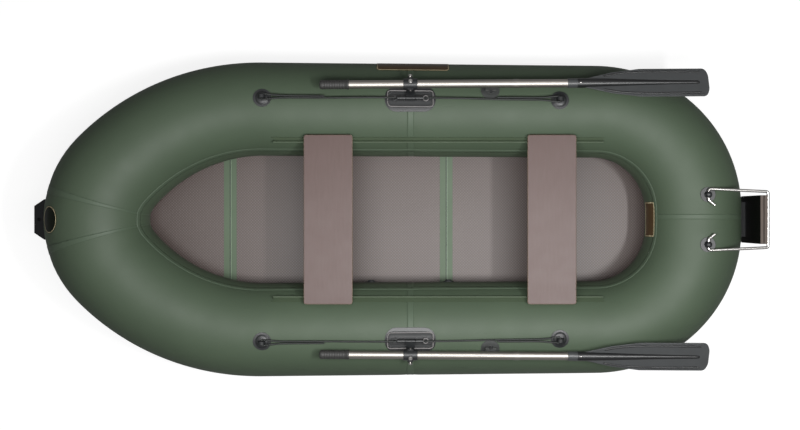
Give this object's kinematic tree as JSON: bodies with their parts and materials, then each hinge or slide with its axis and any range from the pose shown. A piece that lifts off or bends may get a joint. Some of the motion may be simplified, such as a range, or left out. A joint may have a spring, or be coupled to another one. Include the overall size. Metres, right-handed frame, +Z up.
{
  "type": "inflatable rowing boat",
  "caption": "Inflatable rowing boat with a plywood folding floor, sliding thwarts, stowed oars in tilting rowlocks, lifelines and a hung engine transom.",
  "frame": {"origin": "on the ground under the middle of the hull, on its keel line", "axes": "+X aft, towards the hung transom; +Y to starboard; +Z up"},
  "size_m": [3.1013, 1.3621, 0.4707],
  "materials": {
    "hull_fabric": "satin coated fabric, dark green",
    "pale_fabric": "satin coated fabric, paler green",
    "floor_ply": "film-faced plywood with a fine wire-mesh imprint",
    "seat_ply": "smooth film-faced plywood",
    "transom_ply": "varnished plywood",
    "rowlock_plastic": "moulded, fine grain",
    "black_plastic": "moulded, fine grain",
    "blade_plastic": "moulded dark grey",
    "oar_alloy": "drawn tube, satin anodised",
    "bright_steel": "stainless, polished",
    "black_rope": "braided rope"
  },
  "bodies": {
    "hull": {"tube_fore": "hull_fabric", "tube_aft": "hull_fabric", "bottom_skin": "hull_fabric", "floor_board_bow": "floor_ply", "floor_board_middle": "floor_ply", "floor_board_stern": "floor_ply", "floor_strip_fore": "pale_fabric", "floor_strip_aft": "pale_fabric", "transom_frame": "bright_steel", "transom_plate": "transom_ply", "transom_pad": "transom_ply", "transom_rest": "black_plastic", "tow_eye": "black_plastic", "valve_fore": "black_plastic", "valve_aft": "black_plastic", "seat_track_starboard": "pale_fabric", "rowlock_base_starboard": "rowlock_plastic", "oar_holder_starboard": "rowlock_plastic", "holder_knob_starboard": "black_plastic", "rope_eye_fore_starboard": "black_plastic", "rope_eye_aft_starboard": "black_plastic", "lifeline_starboard": "black_rope", "transom_cleat_starboard": "black_plastic", "seat_track_port": "pale_fabric", "rowlock_base_port": "rowlock_plastic", "oar_holder_port": "rowlock_plastic", "holder_knob_port": "black_plastic", "rope_eye_fore_port": "black_plastic", "rope_eye_aft_port": "black_plastic", "lifeline_port": "black_rope", "transom_cleat_port": "black_plastic"},
    "thwart_fore": {"seat_fore": "seat_ply", "seat_runners_fore": "black_plastic"},
    "thwart_aft": {"seat_aft": "seat_ply", "seat_runners_aft": "black_plastic"},
    "rowlock_starboard": {"rowlock_arm_starboard": "rowlock_plastic", "stud_nut_starboard": "bright_steel"},
    "oar_starboard": {"oar_shaft_starboard": "oar_alloy", "oar_grip_starboard": "black_plastic", "oar_ferrule_starboard": "oar_alloy", "oar_clamp_starboard": "black_plastic", "clamp_bolt_starboard": "bright_steel", "oar_blade_starboard": "blade_plastic"},
    "rowlock_port": {"rowlock_arm_port": "rowlock_plastic", "stud_nut_port": "bright_steel"},
    "oar_port": {"oar_shaft_port": "oar_alloy", "oar_grip_port": "black_plastic", "oar_ferrule_port": "oar_alloy", "oar_clamp_port": "black_plastic", "clamp_bolt_port": "bright_steel", "oar_blade_port": "blade_plastic"}
  },
  "joints": [
    {"name": "thwart_fore_slide", "type": "slide", "parent": "hull", "child": "thwart_fore", "axis": [1, 0, 0], "range_m": [-0.13, 0.33]},
    {"name": "thwart_aft_slide", "type": "slide", "parent": "hull", "child": "thwart_aft", "axis": [1, 0, 0], "range_m": [-0.33, 0.12]},
    {"name": "rowlock_tilt_starboard", "type": "hinge", "parent": "hull", "child": "rowlock_starboard", "pos_m": [0.07005, 0.50534, 0.41495], "axis": [1, 0, 0], "range_deg": [0, 38]},
    {"name": "oar_swing_starboard", "type": "hinge", "parent": "rowlock_starboard", "child": "oar_starboard", "pos_m": [0.07005, 0.56004, 0.43685], "axis": [0, 0.342, 0.9397], "range_deg": [0, 125]},
    {"name": "rowlock_tilt_port", "type": "hinge", "parent": "hull", "child": "rowlock_port", "pos_m": [0.07005, -0.50534, 0.41495], "axis": [-1, 0, 0], "range_deg": [0, 38]},
    {"name": "oar_swing_port", "type": "hinge", "parent": "rowlock_port", "child": "oar_port", "pos_m": [0.07005, -0.56004, 0.43685], "axis": [0, 0.342, -0.9397], "range_deg": [0, 125]}
  ]
}
